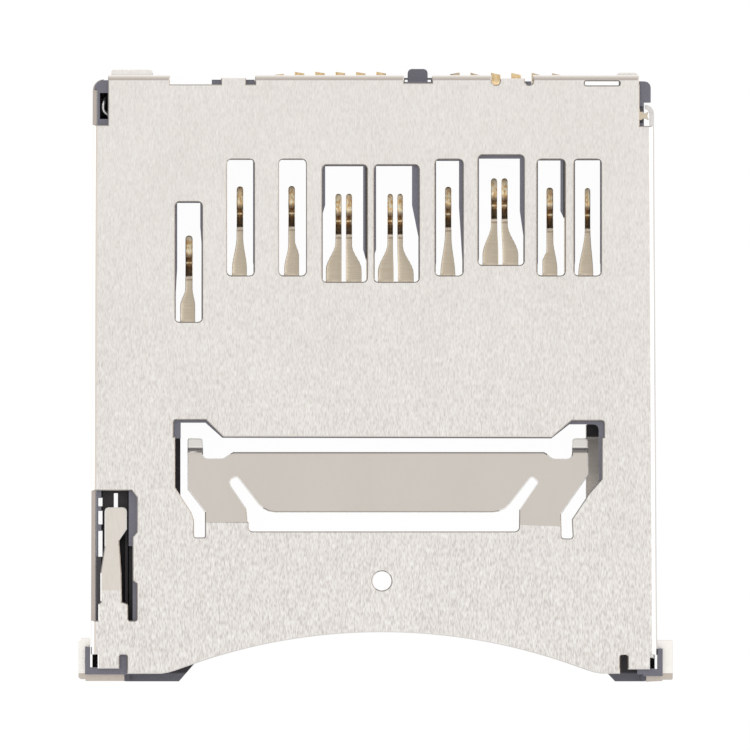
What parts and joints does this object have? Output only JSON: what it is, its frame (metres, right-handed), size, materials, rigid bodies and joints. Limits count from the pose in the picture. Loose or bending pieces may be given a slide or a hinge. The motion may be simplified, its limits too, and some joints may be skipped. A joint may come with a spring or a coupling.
{
  "type": "sd card socket",
  "caption": "Flat push-push memory card socket with a stamped metal shell over a black moulded body, sprung gold contacts in windows, and solder tails along the rear.",
  "frame": {"origin": "centre of the bounding box in plan, on the circuit board's face", "axes": "+Z away from the circuit board, out of the shell; +Y the way the card goes in, towards the solder tails; +X to the right seen from the shell with the tails at the top"},
  "size_m": [0.0288, 0.0298, 0.0031],
  "materials": {
    "stainless_sheet": "matt stamped sheet with a fine vertical grain",
    "black_moulding": "matt glass-filled moulding",
    "gold_plated_strip": "nickel-plated strip, gold on the wipers and the tails",
    "tinned_sheet": "matt tin",
    "slider_moulding": "matt moulding",
    "spring_wire": "bright drawn wire"
  },
  "bodies": {
    "base": {"shell_cover": "stainless_sheet", "housing": "black_moulding", "contact_1": "gold_plated_strip", "contact_2": "gold_plated_strip", "contact_3": "gold_plated_strip", "contact_4": "gold_plated_strip", "contact_5": "gold_plated_strip", "contact_6": "gold_plated_strip", "contact_7": "gold_plated_strip", "contact_8": "gold_plated_strip", "contact_9": "gold_plated_strip", "card_detect_terminal": "gold_plated_strip", "write_protect_terminal": "gold_plated_strip", "switch_common_terminal": "gold_plated_strip", "card_guide_spring": "tinned_sheet", "front_solder_tab_left": "tinned_sheet", "front_solder_tab_right": "tinned_sheet", "coil_spring": "spring_wire"},
    "slide": {"slider": "slider_moulding"},
    "link": {"cam_link": "spring_wire"}
  },
  "joints": [
    {"name": "slider_push", "type": "slide", "parent": "base", "child": "slide", "axis": [0, 1, 0], "range_m": [0, 0.005], "stiffness_N_per_m": 200, "deforming": ["coil_spring"]},
    {"name": "link_swing", "type": "hinge", "parent": "base", "child": "link", "pos_m": [-0.0128, -0.01275, 0.00251], "axis": [0, 0, 1], "range_deg": [-1.6, 0.2]}
  ],
  "couplings": [
    {"joint": "link_swing", "follows": "slider_push", "rad_per_m": -4.96}
  ]
}
